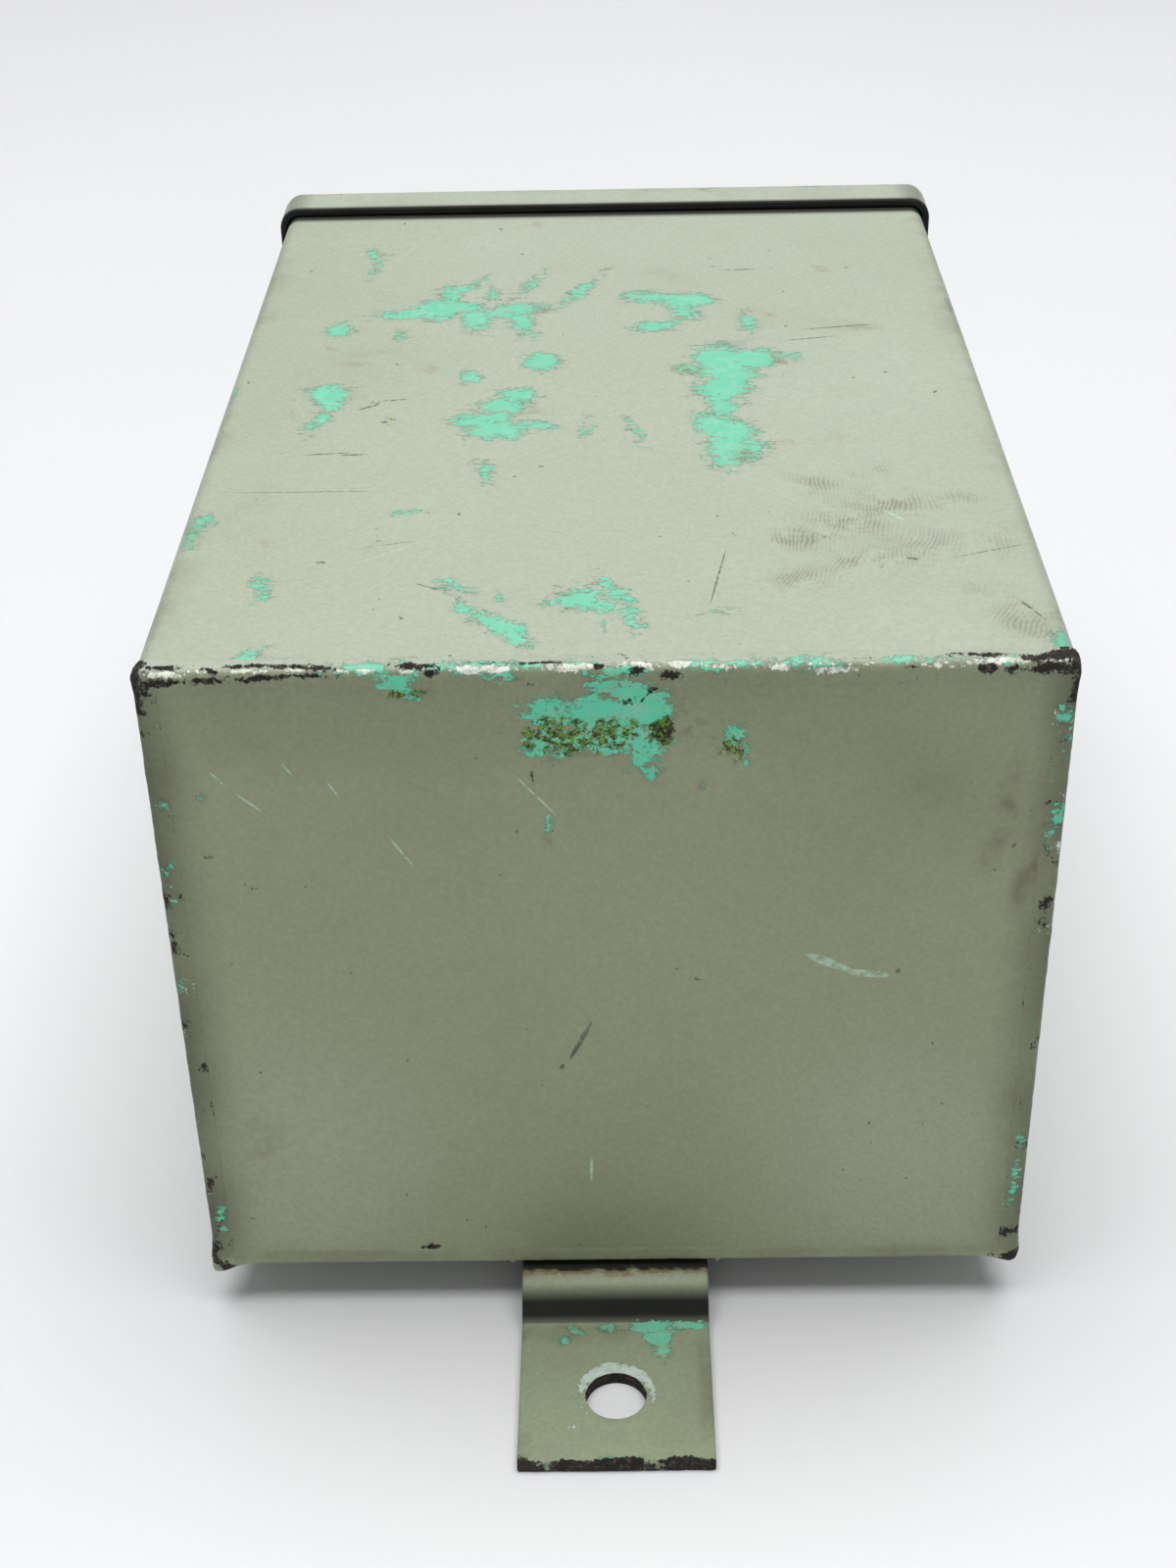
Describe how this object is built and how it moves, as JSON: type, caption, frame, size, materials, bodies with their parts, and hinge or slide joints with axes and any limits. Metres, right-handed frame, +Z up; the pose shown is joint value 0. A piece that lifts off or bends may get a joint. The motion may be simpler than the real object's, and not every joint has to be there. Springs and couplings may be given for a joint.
{
  "type": "electrical junction box",
  "caption": "Deep sheet-steel junction box with welded rear wall, lift-off lipped cover on captive screws, joggled mounting feet and a barrier terminal block inside.",
  "frame": {"origin": "on the standing plane under the feet, at the middle of the whole length and width", "axes": "+Z up, +Y from the welded rear wall to the lift-off cover, +X to the right seen from the rear wall"},
  "size_m": [0.1222, 0.2232, 0.1025],
  "materials": {
    "grey_enamel": "semi-gloss grey-green enamel, chipped to mint primer and bare steel",
    "painted_weld": "worn paint over weld bead",
    "zinc": "dull zinc plate",
    "panel_steel": "white baked enamel",
    "brass": "tarnished brass",
    "neoprene": "matt black closed-cell rubber",
    "phenolic": "black moulded phenolic",
    "white_fibre": "blank vulcanised fibre"
  },
  "bodies": {
    "box": {"body_wrap": "grey_enamel", "rear_wall": "grey_enamel", "seam_weld": "painted_weld", "rear_weld": "painted_weld", "foot_rear": "grey_enamel", "foot_front": "grey_enamel", "foot_weld_rear": "painted_weld", "foot_weld_front": "painted_weld", "corner_gusset_top_left": "grey_enamel", "corner_gusset_top_right": "grey_enamel", "corner_gusset_bottom_left": "grey_enamel", "corner_gusset_bottom_right": "grey_enamel", "entry_cap_left": "grey_enamel", "entry_cap_right": "grey_enamel", "entry_gasket_left": "neoprene", "entry_gasket_right": "neoprene", "entry_bar_left": "zinc", "entry_bar_right": "zinc", "entry_screw_left": "zinc", "entry_screw_right": "zinc", "sub_panel": "panel_steel", "panel_stud_upper_left": "zinc", "panel_stud_upper_right": "zinc", "panel_stud_lower_left": "zinc", "panel_stud_lower_right": "zinc", "panel_nut_upper_left": "zinc", "panel_nut_upper_right": "zinc", "panel_nut_lower_left": "zinc", "panel_nut_lower_right": "zinc", "terminal_block": "phenolic", "terminal_plate_1": "brass", "terminal_plate_2": "brass", "terminal_plate_3": "brass", "terminal_plate_4": "brass", "terminal_screw_upper_1": "brass", "terminal_screw_upper_2": "brass", "terminal_screw_upper_3": "brass", "terminal_screw_upper_4": "brass", "terminal_screw_lower_1": "brass", "terminal_screw_lower_2": "brass", "terminal_screw_lower_3": "brass", "terminal_screw_lower_4": "brass", "block_screw_left": "zinc", "block_screw_right": "zinc", "marker_strip": "white_fibre", "ground_stud": "brass", "ground_washer": "zinc", "ground_nut": "brass"},
    "cover": {"cover": "grey_enamel", "cover_gasket": "neoprene"},
    "washer_top_left": {"cover_washer_top_left": "zinc"},
    "washer_top_right": {"cover_washer_top_right": "zinc"},
    "washer_bottom_left": {"cover_washer_bottom_left": "zinc"},
    "washer_bottom_right": {"cover_washer_bottom_right": "zinc"},
    "screw_top_left": {"cover_screw_top_left": "zinc"},
    "screw_top_right": {"cover_screw_top_right": "zinc"},
    "screw_bottom_left": {"cover_screw_bottom_left": "zinc"},
    "screw_bottom_right": {"cover_screw_bottom_right": "zinc"}
  },
  "joints": [
    {"name": "cover_lift", "type": "slide", "parent": "box", "child": "cover", "axis": [0, 1, 0], "range_m": [0, 0.06]},
    {"name": "travel_top_left", "type": "slide", "parent": "cover", "child": "washer_top_left", "axis": [0, 1, 0], "range_m": [0, 0.00762]},
    {"name": "travel_top_right", "type": "slide", "parent": "cover", "child": "washer_top_right", "axis": [0, 1, 0], "range_m": [0, 0.00762]},
    {"name": "travel_bottom_left", "type": "slide", "parent": "cover", "child": "washer_bottom_left", "axis": [0, 1, 0], "range_m": [0, 0.00762]},
    {"name": "travel_bottom_right", "type": "slide", "parent": "cover", "child": "washer_bottom_right", "axis": [0, 1, 0], "range_m": [0, 0.00762]},
    {"name": "turn_top_left", "type": "hinge", "parent": "washer_top_left", "child": "screw_top_left", "pos_m": [-0.0441, 0.08755, 0.09], "axis": [0, 1, 0], "range_deg": [0, 2165]},
    {"name": "turn_top_right", "type": "hinge", "parent": "washer_top_right", "child": "screw_top_right", "pos_m": [0.0441, 0.08755, 0.09], "axis": [0, 1, 0], "range_deg": [0, 2165]},
    {"name": "turn_bottom_left", "type": "hinge", "parent": "washer_bottom_left", "child": "screw_bottom_left", "pos_m": [-0.0441, 0.08755, 0.0178], "axis": [0, 1, 0], "range_deg": [0, 2165]},
    {"name": "turn_bottom_right", "type": "hinge", "parent": "washer_bottom_right", "child": "screw_bottom_right", "pos_m": [0.0441, 0.08755, 0.0178], "axis": [0, 1, 0], "range_deg": [0, 2165]}
  ],
  "couplings": [
    {"joint": "turn_top_left", "follows": "travel_top_left", "rad_per_m": 4947.4},
    {"joint": "turn_top_right", "follows": "travel_top_right", "rad_per_m": 4947.4},
    {"joint": "turn_bottom_left", "follows": "travel_bottom_left", "rad_per_m": 4947.4},
    {"joint": "turn_bottom_right", "follows": "travel_bottom_right", "rad_per_m": 4947.4}
  ]
}
